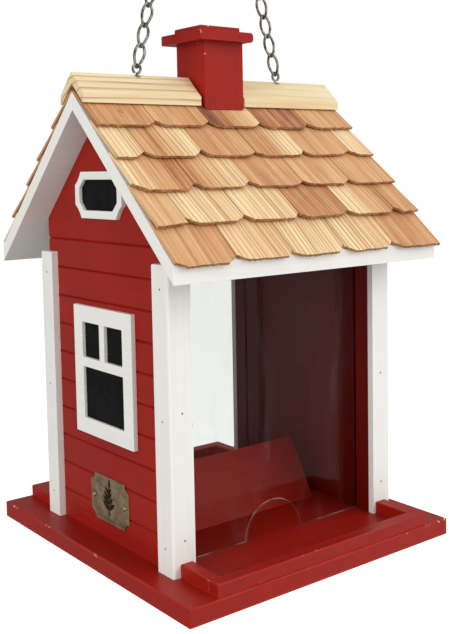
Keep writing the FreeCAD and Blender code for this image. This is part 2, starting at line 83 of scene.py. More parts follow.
# ---- shapes ------------------------------------------------------------------------------
@dataclass
class Solid:
    """Points, faces and point values gathered for one piece."""

    points: list[Sequence[float]] = field(default_factory=list)
    faces: Faces = field(default_factory=list)
    slots: list[int] = field(default_factory=list)
    values: dict[str, list[object]] = field(default_factory=dict)

    def add(self, points: Iterable[Sequence[float]], *groups: Faces) -> None:
        """Adds one closed body.

        Args:
            points: Its corners.
            *groups: Its faces as numbers into those corners, one group for each material slot.
        """
        start = len(self.points)
        self.points.extend(tuple(float(v) for v in point) for point in points)
        for slot, faces in enumerate(groups):
            self.faces.extend(tuple(start + n for n in face) for face in faces)
            self.slots.extend([slot] * len(faces))

    def mark(self, key: str, values: np.ndarray) -> None:
        """Stores a value for each of the points just added."""
        self.values.setdefault(key, []).extend(values.tolist())

    def make(self, name: str, materials: Sequence[Material], sharp: float = 35.0) -> Piece:
        """Turns the gathered faces into an object.

        Args:
            name: The piece's name.
            materials: Its material slots.
            sharp: Edges that turn by more degrees than this stay crisp.

        Returns:
            The new object, linked to the scene.
        """
        mesh = bpy.data.meshes.new(name)
        mesh.from_pydata(self.points, [], self.faces)
        mesh.polygons.foreach_set("material_index", self.slots)
        work = bmesh.new()
        work.from_mesh(mesh)
        bmesh.ops.recalc_face_normals(work, faces=work.faces)
        work.to_mesh(mesh)
        work.free()
        for key, rows in self.values.items():
            table = np.asarray(rows, np.float32)
            kind, part = ("FLOAT_VECTOR", "vector") if table.ndim == 2 else ("FLOAT", "value")
            mesh.attributes.new(key, kind, "POINT").data.foreach_set(part, table.ravel())
        mesh.shade_smooth()
        mesh.set_sharp_from_angle(angle=math.radians(sharp))
        for material in materials:
            mesh.materials.append(material)
        piece = bpy.data.objects.new(name, mesh)
        bpy.context.scene.collection.objects.link(piece)
        return piece


def strips(rings: int, sides: int, start: int = 0, loop: bool = False) -> Faces:
    """The four-sided faces between rings of corners.

    Args:
        rings: How many rings there are.
        sides: The corners in each ring.
        start: The number of the first corner.
        loop: True if the last ring is joined to the first.

    Returns:
        The faces.
    """
    faces: Faces = []
    for ring in range(rings if loop else rings - 1):
        here, there = start + ring * sides, start + (ring + 1) % rings * sides
        for corner in range(sides):
            after = (corner + 1) % sides
            faces.append((here + corner, here + after, there + after, there + corner))
    return faces


def sweep(path: np.ndarray, radii: np.ndarray, sides: int, loop: bool) -> tuple[np.ndarray, Faces]:
    """Runs a round wire along a path without twisting it.

    Args:
        path: The points of its centre line.
        radii: The wire's radius at each of them.
        sides: Corners round the wire.
        loop: True for a closed loop.

    Returns:
        Its points and faces.
    """
    count = len(path)
    ways = np.roll(path, -1, 0) - np.roll(path, 1, 0) if loop else np.gradient(path, axis=0)
    ways = ways / np.linalg.norm(ways, axis=1)[:, None]
    normal = np.cross(ways[0], np.eye(3)[np.argmin(np.abs(ways[0]))])
    normals = []
    for way in ways:
        normal = normal - way * normal.dot(way)
        normal = normal / np.linalg.norm(normal)
        normals.append(normal)
    slip = 0.0
    if loop:
        last = normal - ways[0] * normal.dot(ways[0])
        slip = math.atan2(np.cross(last, normals[0]).dot(ways[0]), last.dot(normals[0]))
    points = []
    for number, (centre, radius, way, side) in enumerate(zip(path, radii, ways, normals)):
        across = np.cross(way, side)
        for corner in range(sides):
            angle = slip * number / count + 2 * math.pi * corner / sides
            points.append(centre + radius * (math.cos(angle) * side + math.sin(angle) * across))
    faces = strips(count, sides, loop=loop)
    if not loop:
        faces += [tuple(range(sides)), tuple(range((count - 1) * sides, count * sides))]
    return np.array(points), faces


def place(piece: Piece, body: str, slot: str, *nodes: str) -> None:
    """Sets a new piece on its body and reports it.

    Args:
        piece: The piece.
        body: The body that it moves with.
        slot: Not used.
        *nodes: The CAD nodes that it stands for.
    """
    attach(piece, body)
    if nodes:
        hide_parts(*nodes)
    LOG.info("%s: %d faces on %s", piece.name, len(piece.data.polygons), body)


def dress(node: str, material: Material, soft: float = 0.0) -> None:
    """Gives a CAD node its finish and, if asked, softly rounded edges.

    Args:
        node: The node's name.
        material: Its finish.
        soft: The rounding's width in metres, or 0 to leave its edges as they are.
    """
    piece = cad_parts[node]
    for number in range(len(piece.material_slots)):
        piece.material_slots[number].link = "OBJECT"
        piece.material_slots[number].material = material
    if soft:
        weld = piece.modifiers.new("Weld", "WELD")
        weld.merge_threshold = SAME_POINT
        bevel = piece.modifiers.new("Bevel", "BEVEL")
        bevel.width = soft
        bevel.segments = 2
        bevel.limit_method = "ANGLE"
        bevel.angle_limit = math.radians(30)
        bevel.miter_outer = "MITER_ARC"
        piece.modifiers.new("WeightedNormal", "WEIGHTED_NORMAL").weight = 80
    LOG.info("%s: %s", node, material.name)


# ---- finishes ----------------------------------------------------------------------------
class Axis(Enum):
    """The way that a board's grain runs."""

    X = (1, 0, 0)
    Y = (0, 1, 0)
    Z = (0, 0, 1)

    def stretch(self, along: float, across: float) -> Triple:
        """Scales that draw a pattern out along this axis."""
        x, y, z = (along if component else across for component in self.value)
        return x, y, z


class Wiring:
    """A node tree that is being joined up, in a material or in the world."""

    def __init__(self, name: str, home: str = "materials") -> None:
        """Starts an empty tree.

        Args:
            name: The material's or the world's name.
            home: The list of Blender's data that it belongs to.
        """
        self.owner = getattr(bpy.data, home).new(name)
        self.owner.use_nodes = True
        self.tree = self.owner.node_tree
        self.tree.nodes.clear()

    def add(self, kind: str, feeds: Feeds, **settings: object) -> bpy.types.Node:
        """Adds a node.

        Args:
            kind: The node's type, without its common first word.
            feeds: What goes into its sockets.
            **settings: Its own settings.

        Returns:
            The node.
        """
        node = self.tree.nodes.new("ShaderNode" + kind)
        for key, value in settings.items():
            setattr(node, key, value)
        for socket, value in feeds.items():
            if isinstance(value, Socket):
                self.tree.links.new(value, node.inputs[socket])
            else:
                node.inputs[socket].default_value = value
        return node

    def here(self) -> Socket:
        """The place on the piece, in metres."""
        return self.add("TexCoord", {}).outputs["Object"]

    def value(self, name: str, wide: bool = False) -> Socket:
        """A point value stored on the mesh."""
        return self.add("Attribute", {}, attribute_name=name).outputs["Vector" if wide else "Fac"]

    def vector(self, operation: str, a: Feed, b: Feed, output: str = "Vector") -> Socket:
        """One sum of two vectors."""
        return self.add("VectorMath", {0: a, 1: b}, operation=operation).outputs[output]

    def noise(self, vector: Feed, scale: float, detail: float = 2.0, warp: float = 0.0) -> Socket:
        """Cloudy noise between 0 and 1."""
        feeds = {"Vector": vector, "Scale": scale, "Detail": detail, "Distortion": warp}
        return self.add("TexNoise", feeds).outputs["Fac"]

    def grain(self, vector: Feed, scale: Triple, detail: float = 2.0, warp: float = 0.0) -> Socket:
        """Noise with a scale of its own along each axis."""
        return self.noise(self.vector("MULTIPLY", vector, scale), 1.0, detail, warp)

    def maths(self, operation: str, a: Feed, b: Feed = 0.0, clamp: bool = False) -> Socket:
        """One sum of two numbers."""
        return self.add("Math", {0: a, 1: b}, operation=operation, use_clamp=clamp).outputs[0]

    def total(self, *shares: tuple[Feed, float], start: Feed = 0.0) -> Socket:
        """Patterns added up, each multiplied by its weight.

        Args:
            *shares: Each pattern with its weight.
            start: What they are added to.

        Returns:
            The sum.
        """
        for pattern, weight in shares:
            feeds = {0: pattern, 1: weight, 2: start}
            start = self.add("Math", feeds, operation="MULTIPLY_ADD").outputs[0]
        return start

    def between(
        self, value: Feed, low: float, high: float, start: float = 0.0, end: float = 1.0
    ) -> Socket:
        """A number moved smoothly from one range to another and kept inside it."""
        feeds = {"Value": value, "From Min": low, "From Max": high, "To Min": start, "To Max": end}
        return self.add("MapRange", feeds, interpolation_type="SMOOTHSTEP").outputs[0]

    def mix(self, factor: Feed, a: Feed, b: Feed, blend: str = "MIX") -> Socket:
        """Two colours mixed."""
        feeds = {0: factor, 6: a, 7: b}
        return self.add("Mix", feeds, data_type="RGBA", blend_type=blend).outputs[2]

    def ramp(self, factor: Feed, stops: Stops) -> Socket:
        """A colour read from a row of stops.

        Args:
            factor: Where it is read, from 0 to 1.
            stops: The places and their colours.

        Returns:
            The colour.
        """
        node = self.add("ValToRGB", {0: factor})
        elements = node.color_ramp.elements
        for _ in stops[2:]:
            elements.new(0.5)
        for element, (position, colour) in zip(elements, stops):
            element.position = position
            element.color = colour
        return node.outputs[0]

    def bump(self, height: Feed, depth: float, strength: float = 1.0) -> Socket:
        """A normal tilted by a height pattern that is so many metres deep."""
        feeds = {"Height": height, "Distance": depth, "Strength": strength}
        return self.add("Bump", feeds).outputs[0]

    def blend(self, factor: Feed, a: Socket, b: Socket) -> Socket:
        """Two shaders mixed."""
        return self.add("MixShader", {0: factor, 1: a, 2: b}).outputs[0]

    def surface(self, feeds: Feeds) -> Socket:
        """A principled surface."""
        return self.add("BsdfPrincipled", feeds).outputs[0]

    def finish(self, shader: Socket) -> Material:
        """Joins the last shader to the output and gives back the material."""
        self.add("OutputMaterial", {"Surface": shader})
        return self.owner


class Paint(Enum):
    """A house paint.

    Its colour, its lighter colour along edges (worn paint with a painted highlight), what shows
    under it, its roughness and how far its strokes show.
    """

    RED = ((0.325, 0.0115, 0.0055, 1), (0.43, 0.030, 0.016, 1), (0.74, 0.62, 0.54, 1), 0.40, 1.0)
    WHITE = ((0.83, 0.82, 0.775, 1), (0.90, 0.89, 0.86, 1), (0.55, 0.45, 0.34, 1), 0.46, 0.30)


@dataclass(frozen=True)
class BrushedPaint:
    """Satin paint brushed along a board, worn and chipped along the edges of the board's box,
    where a painted highlight also lightens it.

    The two shade fields paint shade inside the house: where the first is below 1 the coat is
    darker, as far from the middle plane as the second.
    """

    name: str
    paint: Paint
    grain: Axis
    node: str
    wear: float = 1.0
    edge: float = 1.1 * MM
    # Painted shade for the inside of the house: how dark, and how far from the middle plane.
    dim: float = 1.0
    dim_within: float = 1.0

    def rim(self, w: Wiring, here: Socket) -> Socket:
        """The distance to the nearest edge of the board's box.

        Args:
            w: The material's wiring.
            here: The place on the piece.

        Returns:
            The distance in metres.
        """
        low, high = (tuple(corner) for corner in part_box(self.node))
        up, down = w.vector("SUBTRACT", here, low), w.vector("SUBTRACT", high, here)
        x, y, z = w.add("SeparateXYZ", {0: w.vector("MINIMUM", up, down)}).outputs
        least, most = w.maths("MINIMUM", x, y), w.maths("MAXIMUM", x, y)
        return w.maths("MAXIMUM", least, w.maths("MINIMUM", most, z))

    def build(self) -> Material:
        """Wires up the paint.

        Returns:
            The material.
        """
        full, worn_and_highlit_edge, under, rough, streaky = self.paint.value
        w = Wiring(self.name)
        here = w.here()
        strokes = w.grain(here, self.grain.stretch(9.0, 300.0), 3.0)
        pores = w.grain(here, self.grain.stretch(45.0, 1300.0))
        cloud = w.noise(here, 26.0, 3.0)
        peel = w.noise(here, 950.0, 1.0)
        deep = tuple(part * (1 - 0.20 * streaky) for part in full[:3]) + (1.0,)
        colour = w.mix(w.between(w.total((strokes, 0.55), (cloud, 0.45)), 0.3, 0.7), deep, full)
        rim = self.rim(w, here)
        # Lighter along the box's edges: worn paint and a painted highlight on the edges.
        edge_wear_and_highlight = w.total((cloud, 2.4 * self.edge), start=w.maths("SUBTRACT", rim, 1.2 * self.edge))
        colour = w.mix(w.between(edge_wear_and_highlight, 0.0, self.edge, 0.42 * self.wear, 0.0), colour, worn_and_highlit_edge)
        spots = w.between(w.noise(here, 330.0, 3.0, 0.4), 0.62, 0.70)
        patch = w.between(w.noise(here, 30.0, 1.0), 0.57, 0.64)
        close = w.between(rim, 0.4 * self.edge, 1.5 * self.edge, 1.0, 0.0)
        chips = w.maths("MULTIPLY", w.maths("MULTIPLY", spots, close), patch)
        chips = w.maths("MULTIPLY", chips, self.wear, True)
        colour = w.mix(chips, colour, under)
        # Painted shade: the coat is darker inside the house, where shade falls on the inner faces.
        if self.dim < 1.0:
            away = w.maths("ABSOLUTE", w.add("SeparateXYZ", {0: here}).outputs[0])
            inner = w.maths("LESS_THAN", away, self.dim_within)
            shadow = (self.dim, 0.95 * self.dim, 0.95 * self.dim, 1)
            colour = w.mix(inner, colour, shadow, "MULTIPLY")
        brushed = w.total((strokes, 0.9 * streaky), (pores, 0.35 * streaky))
        height = w.total((peel, 0.25), (chips, -0.8), start=brushed)
        gloss = w.total((chips, 0.8), start=strokes)
        feeds = {"Base Color": colour, "Specular IOR Level": 0.18}
        feeds["Roughness"] = w.between(gloss, 0.3, 1.0, rough - 0.06, rough + 0.22)
        feeds["Normal"] = w.bump(height, 0.0002, 0.6)
        return w.finish(w.surface(feeds))


def paint(
    node: str, coat: Paint, grain: Axis, wear: float, soft: float = 0.0, **more: float
) -> None:
    """Gives a CAD board a coat of paint of its own.

    Args:
        node: The board's node.
        coat: The paint.
        grain: The way that the board's grain and the brush run.
        wear: How worn its edges are.
        soft: The rounding of its edges.
        **more: Other fields of the painted finish.
    """
    name = "%s_%s" % (coat.name.lower(), node)
    dress(node, BrushedPaint(name, coat, grain, node, wear, **more).build(), soft)


@dataclass(frozen=True)
class SawnCedar:
    """Raw cedar: streaks and late-wood lines that run down a shingle, from values on its mesh."""

    name: str = "sawn_cedar"
    tones: Stops = (
        (0.0, (0.86, 0.66, 0.38, 1)),
        (0.3, (0.74, 0.47, 0.235, 1)),
        (0.58, (0.62, 0.315, 0.135, 1)),
        (0.82, (0.44, 0.17, 0.066, 1)),
        (1.0, (0.18, 0.066, 0.028, 1)),
    )

    def build(self) -> Material:
        """Wires up the face of a shingle.

        Returns:
            The material.
        """
        w = Wiring(self.name)
        place_in = w.value("grain", wide=True)
        bands = w.grain(place_in, (170.0, 6.0, 60.0), 3.0)
        fine = w.grain(place_in, (1250.0, 22.0, 300.0), 4.0)
        fleck = w.grain(place_in, (2600.0, 260.0, 600.0))
        shares = ((bands, 0.85), (fine, 0.34), (w.grain(place_in, (40.0, 25.0, 20.0)), 0.22))
        middle = sum(weight for _, weight in shares) / 2
        level = w.total(*shares, start=w.maths("SUBTRACT", w.value("tone"), middle))
        colour = w.ramp(level, self.tones)
        late = w.mix(1.0, colour, (0.46, 0.30, 0.19, 1), "MULTIPLY")
        colour = w.mix(w.maths("MULTIPLY", w.value("line"), 0.95), colour, late)
        colour = w.mix(w.between(fleck, 0.55, 0.75, 0.0, 0.16), colour, (0.90, 0.76, 0.52, 1))
        feeds = {"Base Color": colour, "Roughness": w.between(fine, 0.3, 0.7, 0.56, 0.74)}
        feeds["Normal"] = w.bump(w.total((fine, 0.8), (fleck, 0.4)), 0.00028, 0.8)
        return w.finish(w.surface(feeds))


@dataclass(frozen=True)
class CedarEnd:
    """The rough sawn ends of the shingles, darker than their faces."""

    name: str = "cedar_end_grain"
    tones: Stops = (
        (0.30, (0.17, 0.070, 0.028, 1)),
        (0.55, (0.38, 0.175, 0.072, 1)),
        (0.80, (0.62, 0.36, 0.165, 1)),
    )

    def build(self) -> Material:
        """Wires up the end grain.

        Returns:
            The material.
        """
        w = Wiring(self.name)
        place_in = w.value("grain", wide=True)
        pits = w.grain(place_in, (1500.0, 900.0, 500.0), 3.0)
        bands = w.grain(place_in, (240.0, 6.0, 90.0))
        feeds = {"Base Color": w.ramp(w.total((pits, 0.6), (bands, 0.5)), self.tones)}
        feeds["Roughness"] = w.between(pits, 0.3, 0.7, 0.74, 0.9)
        feeds["Normal"] = w.bump(pits, 0.0004)
        return w.finish(w.surface(feeds))


@dataclass(frozen=True)
class RidgePine:
    """Pale bare pine: growth rings about a far heart, brown lines, darker round the screw eye."""

    name: str
    heart: Triple
    lines: float
    eye: Triple
    tones: Stops = (
        (0.25, (0.70, 0.50, 0.26, 1)),
        (0.5, (0.77, 0.62, 0.37, 1)),
        (0.8, (0.81, 0.70, 0.47, 1)),
    )

    def build(self) -> Material:
        """Wires up the pine.

        Returns:
            The material.
        """
        w = Wiring(self.name)
        here = w.here()
        away = w.vector("MULTIPLY", w.vector("SUBTRACT", here, self.heart), (0.05, 1.0, 1.0))
        feeds = {"Vector": away, "Scale": 47.0, "Distortion": 4.5}
        feeds |= {"Detail": 3.0, "Detail Scale": 1.4}
        wave = {"wave_type": "RINGS", "rings_direction": "X", "wave_profile": "SAW"}
        rings = w.add("TexWave", feeds, **wave).outputs["Fac"]
        fine = w.grain(here, (16.0, 1300.0, 1300.0), 3.0)
        cloud = w.grain(here, (10.0, 70.0, 70.0), 3.0)
        faint = w.between(cloud, 0.30, 0.60, 0.35, 1.0)
        dark = w.maths("MULTIPLY", w.between(rings, 0.62, 0.98, 0.0, self.lines), faint)
        colour = w.mix(dark, w.ramp(cloud, self.tones), (0.37, 0.22, 0.095, 1))
        colour = w.mix(w.between(fine, 0.5, 0.8, 0.0, 0.25), colour, (0.62, 0.38, 0.17, 1))
        # Darker round the screw eye.
        gap = w.vector("DISTANCE", here, self.eye, "Value")
        dark_round_eye = w.between(gap, 1.6 * MM, 4.2 * MM, 0.85, 0.0)
        feeds = {"Base Color": w.mix(dark_round_eye, colour, (0.13, 0.06, 0.025, 1))}
        feeds["Roughness"] = w.between(fine, 0.3, 0.7, 0.52, 0.68)
        feeds["Normal"] = w.bump(w.total((dark, -0.5), start=fine), 0.00025, 0.8)
        return w.finish(w.surface(feeds))


@dataclass(frozen=True)
class ClearSheet:
    """Clear acrylic: it mirrors at a glancing angle and has a little haze and some wipe marks."""

    name: str = "clear_acrylic"

    def build(self) -> Material:
        """Wires up the faces of a sheet.

        Returns:
            The material.
        """
        w = Wiring(self.name)
        wipes = w.grain(w.here(), (60.0, 1.0, 14.0), 3.0, 1.2)
        gloss = w.add("BsdfGlossy", {"Color": (1, 1, 1, 1), "Roughness": 0.03}).outputs[0]
        haze = w.add("BsdfDiffuse", {"Color": (0.80, 0.80, 0.80, 1)}).outputs[0]
        clear = w.add("BsdfTransparent", {"Color": (0.93, 0.935, 0.925, 1)}).outputs[0]
        veil = w.blend(w.between(wipes, 0.5, 0.85, 0.0, 0.02), clear, haze)
        facing = w.add("LayerWeight", {"Blend": 0.5}).outputs["Facing"]
        glance = w.total((w.maths("POWER", facing, 4.0), 0.55), start=0.0025)
        return w.finish(w.blend(glance, veil, gloss))


@dataclass(frozen=True)
class SheetEdge:
    """The sawn and polished edge of a clear sheet, which glows pale with the light it gathers."""

    name: str = "clear_acrylic_edge"

    def build(self) -> Material:
        """Wires up the edge.

        Returns:
            The material.
        """
        w = Wiring(self.name)
        saw = w.grain(w.here(), (900.0, 60.0, 900.0))
        glow = w.between(w.noise(w.here(), 38.0), 0.38, 0.62, 0.08, 0.50)
        colour = w.ramp(saw, ((0.3, (0.52, 0.40, 0.36, 1)), (0.7, (0.84, 0.76, 0.71, 1))))
        rough = w.between(saw, 0.3, 0.7, 0.16, 0.34)
        body = w.surface({"Base Color": colour, "Roughness": rough})
        clear = w.add("BsdfTransparent", {"Color": (0.9, 0.93, 0.92, 1)}).outputs[0]
        return w.finish(w.blend(glow, clear, body))


@dataclass(frozen=True)
class BlackPane:
    """Black plastic sheet behind the windows, half glossy, with dust and faint rub marks."""

    name: str = "black_pane"

    def build(self) -> Material:
        """Wires up the pane.

        Returns:
            The material.
        """
        w = Wiring(self.name)
        dust = w.noise(w.here(), 120.0, 4.0)
        rubs = w.grain(w.here(), (1.0, 40.0, 260.0))
        tones = ((0.35, (0.004, 0.004, 0.0045, 1)), (0.75, (0.009, 0.009, 0.010, 1)))
        feeds = {"Base Color": w.ramp(dust, tones), "Specular IOR Level": 0.04}
        feeds["Roughness"] = w.between(rubs, 0.3, 0.7, 0.22, 0.38)
        feeds["Normal"] = w.bump(dust, 0.00006, 0.6)
        return w.finish(w.surface(feeds))


class Metal(Enum):
    """A metal: its clean colour, its tarnished colour (for steel also painted dark reflections),
    and its least and greatest roughness.
    """

    BRASS = ((0.60, 0.46, 0.275, 1), (0.36, 0.27, 0.16, 1), 0.32, 0.55)
    BRIGHT = ((0.86, 0.66, 0.36, 1), (0.58, 0.40, 0.20, 1), 0.20, 0.38)
    BRONZE = ((0.11, 0.078, 0.045, 1), (0.035, 0.026, 0.018, 1), 0.42, 0.66)
    # Steel's very dark second colour is painted dark reflections as well as tarnish, laid on in
    # clouds.
    STEEL = ((0.52, 0.48, 0.42, 1), (0.10, 0.085, 0.065, 1), 0.14, 0.36)
    ZINC = ((0.62, 0.62, 0.60, 1), (0.34, 0.33, 0.31, 1), 0.30, 0.50)


@dataclass(frozen=True)
class WornMetal:
    """Metal that is tarnished in clouds (on steel the dark clouds are also painted dark
    reflections), with fine scratches.
    """

    name: str
    metal: Metal
    clouds: float
    grain: Axis = Axis.Z

    def build(self) -> Material:
        """Wires up the metal.

        Returns:
            The material.
        """
        clean, tarnished, smooth, rough = self.metal.value
        w = Wiring(self.name)
        here = w.here()
        cloud = w.noise(here, self.clouds, 4.0, 0.3)
        marks = w.grain(here, self.grain.stretch(60.0, 1800.0))
        age = w.between(w.total((cloud, 0.75), (marks, 0.25)), 0.36, 0.64)
        feeds = {"Base Color": w.mix(age, clean, tarnished), "Metallic": 1.0}
        feeds["Roughness"] = w.between(w.total((age, 0.5), (marks, 0.5)), 0.1, 0.9, smooth, rough)
        feeds["Normal"] = w.bump(w.total((cloud, 0.6), (marks, 0.4)), 0.00012, 0.6)
        return w.finish(w.surface(feeds))


# ---- studio ------------------------------------------------------------------------------
@dataclass
class Studio:
    """The pale floor, the soft light and the camera."""

    drop: float = 0.42
    floor_half: float = 30.0
    yaw: float = -37.75
    pitch: float = 4.57
    roll: float = -1.05
    eye: Triple = (-0.4746, -0.6300, -0.3933)
    lens: float = 55.12
    sensor: float = 36.0
    shift: float = -0.1127
    key: Triple = (0.50, -0.72, 0.48)
    key_power: float = 1.18
    ambient: float = 0.36
    lamps: tuple[tuple[str, Triple, float, float], ...] = (
        ("key_light", (0.9, -1.5, 0.75), 1.0, 8.2),
        ("side_light", (-1.75, -0.35, 0.4), 1.1, 19.5),
    )

    def floor(self) -> None:
        """Lays a wide pale floor well under the hanging feeder."""
        low, half = CAD_BOX[0][2] - self.drop, self.floor_half
        sheet = Solid()
        corners = [(-half, -half, low), (half, -half, low), (half, half, low), (-half, half, low)]
        sheet.add(corners, [(0, 1, 2, 3)])
        w = Wiring("pale_floor")
        tones = ((0.3, (0.90, 0.90, 0.90, 1)), (0.7, (0.93, 0.93, 0.93, 1)))
        feeds = {"Base Color": w.ramp(w.noise(w.here(), 3.0), tones), "Roughness": 0.9}
        feeds |= {"Emission Color": (1, 1, 1, 1), "Emission Strength": 0.42}
        floor = sheet.make("studio_floor", [w.finish(w.surface(feeds))])
        floor.visible_diffuse = False
        floor.visible_glossy = False

    def sky(self) -> None:
        """A white room that is brighter towards the key light than away from it."""
        w = Wiring("studio_room", "worlds")
        way = w.add("TexCoord", {}).outputs["Generated"]
        towards = w.vector("DOT_PRODUCT", way, Vector(self.key).normalized(), "Value")
        lit = w.between(towards, -0.2, 1.0, self.ambient, self.key_power)
        seen = w.add("LightPath", {}).outputs["Is Camera Ray"]
        power = w.add("Mix", {0: seen, 2: lit, 3: 1.0}).outputs[0]
        back = w.add("Background", {"Color": (1, 1, 1, 1), "Strength": power}).outputs[0]
        w.add("OutputWorld", {"Surface": back})
        bpy.context.scene.world = w.owner

    def lamp(self, name: str, stand: Triple, size: float, watts: float) -> None:
        """A square soft light aimed at the middle of the house.

        Args:
            name: The light's name.
            stand: Where it stands, from the middle of the house.
            size: The length of its side.
            watts: Its power.
        """
        light = bpy.data.lights.new(name, "AREA")
        light.size = size
        light.energy = watts
        middle = (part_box("base_board")[0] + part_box("chimney_crown")[1]) / 2
        lamp = bpy.data.objects.new(name, light)
        lamp.location = middle + Vector(stand)
        lamp.rotation_euler = Vector(stand).to_track_quat("Z", "Y").to_euler()
        lamp.visible_glossy = False
        bpy.context.scene.collection.objects.link(lamp)

    def camera(self) -> None:
        """Sets the camera a little above the middle of the house, off its front near corner."""
        yaw, pitch, roll = (math.radians(angle) for angle in (self.yaw, self.pitch, self.roll))
        level = Vector((math.cos(yaw), math.sin(yaw), 0.0))
        ahead = math.cos(pitch) * Vector((-level.y, level.x, 0.0))
        ahead.z = -math.sin(pitch)
        upright = level.cross(ahead)
        right = math.cos(roll) * level + math.sin(roll) * upright
        top = math.cos(roll) * upright - math.sin(roll) * level
        lens = bpy.data.cameras.new("studio_camera")
        lens.sensor_width = self.sensor
        lens.lens = self.lens
        lens.shift_y = self.shift
        lens.clip_start, lens.clip_end = 0.05, 200.0
        camera = bpy.data.objects.new("studio_camera", lens)
        turn = Matrix((right, top, -ahead)).transposed()
        camera.matrix_world = Matrix.Translation(self.eye) @ turn.to_4x4()
        bpy.context.scene.collection.objects.link(camera)
        bpy.context.scene.camera = camera

    def build(self) -> None:
        """Sets up the whole studio."""
        self.floor()
        self.sky()
        for lamp in self.lamps:
            self.lamp(*lamp)
        self.camera()
        bpy.context.scene.view_settings.view_transform = "Standard"
        LOG.info("studio: floor, room, two lights and camera")


# ---- house -------------------------------------------------------------------------------
ENDS = ("near", "far")
SIDES = ("front", "back")


@dataclass
class BaseAndTrays:
    """The base board and the rails of the two seed trays."""

    base_wear: float = 1.3
    base_edge: float = 1.6 * MM
    rail_wear: float = 1.1

    def build(self) -> None:
        """Paints them, with most wear on the corners."""
        paint("base_board", Paint.RED, Axis.X, self.base_wear, edge=self.base_edge)
        for side in SIDES:
            paint(side + "_tray_rail", Paint.RED, Axis.X, self.rail_wear)
            for end in ENDS:
                paint("%s_tray_end_%s" % (side, end), Paint.RED, Axis.Y, self.rail_wear)


@dataclass
class House:
    """The gable walls, corner trims, cleats, baffles, windows and fasteners."""

    groove_soft: float = 0.35 * MM
    inner_soft: float = 0.7 * MM
    frame_soft: float = 0.5 * MM
    red_wear: float = 0.4
    white_wear: float = 0.5
    baffle_wear: float = 0.3
    # Painted shade inside the house: on the walls' inner faces and, darker, on the cleats.
    wall_dim: float = 0.62
    cleat_dim: float = 0.42
    head_clouds: float = 900.0

    def build(self) -> None:
        """Dresses every board of the house."""
        red, white = (Paint.RED, Axis.Z, self.red_wear), (Paint.WHITE, Axis.Z, self.white_wear)
        pane = BlackPane().build()
        for end in ENDS:
            wall = end + "_gable_wall"
            inside = min(abs(corner.x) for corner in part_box(wall)) + 1 * MM
            # Painted shade on the wall's inner face, which lies in the shade inside the house.
            dark = {"dim": self.wall_dim, "dim_within": inside}
            paint(wall, Paint.RED, Axis.Y, self.red_wear, self.groove_soft, **dark)
            for side in SIDES:
                paint("%s_corner_trim_%s" % (side, end), *white)
                cleats = "%s_panel_cleats_%s" % (side, end)
                # Painted shade over the whole cleats, which sit deep in the shaded inside.
                paint(cleats, *red, self.inner_soft, dim=self.cleat_dim)
            for window in (end + "_window", end + "_gable_window"):
                paint(window + "_frame", Paint.WHITE, Axis.Y, self.white_wear, self.frame_soft)
                dress(window + "_pane", pane)
        for side in SIDES:
            baffle = side + "_baffle_board"
            paint(baffle, Paint.RED, Axis.X, self.baffle_wear, self.inner_soft)
        dress("trim_brads", WornMetal("brad_heads", Metal.BRONZE, self.head_clouds).build())
        dress("base_screws", WornMetal("zinc_screws", Metal.ZINC, self.head_clouds).build())


@dataclass
class ClearPanels:
    """The two clear sheets with a half-round seed outlet at the foot."""

    arch: float = 27.0 * MM
    steps: int = 48
    soft: float = 0.3 * MM

    def sheet(self, side: str) -> None:
        """Builds one sheet from its node's box.

        Args:
            side: The eave side that it stands on.
        """
        low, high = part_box(side + "_clear_panel")
        turns = [math.pi * step / self.steps for step in range(self.steps + 1)]
        outline = [(low.x, low.z)]
        outline += [(-self.arch * math.cos(a), low.z + self.arch * math.sin(a)) for a in turns]
        outline += [(high.x, low.z), (high.x, high.z), (low.x, high.z)]
        count = len(outline)
        solid = Solid()
        points = [(x, y, z) for y in (low.y, high.y) for x, z in outline]
        faces = [tuple(range(count)), tuple(range(count, 2 * count))] + strips(2, count)
        solid.add(points, faces)
        piece = solid.make(side + "_clear_sheet", [ClearSheet().build(), SheetEdge().build()])
        work = bmesh.new()
        work.from_mesh(piece.data)
        edges = [edge for edge in work.edges if edge.verts[0].co.y == edge.verts[1].co.y]
        shape = {"offset": self.soft, "segments": 2, "profile": 0.5, "affect": "EDGES"}
        bmesh.ops.bevel(work, geom=edges, material=1, **shape)
        work.to_mesh(piece.data)
        work.free()
        place(piece, "feeder", "clear_acrylic", side + "_clear_panel")

    def build(self) -> None:
        """Builds both sheets."""
        for side in SIDES:
            self.sheet(side)


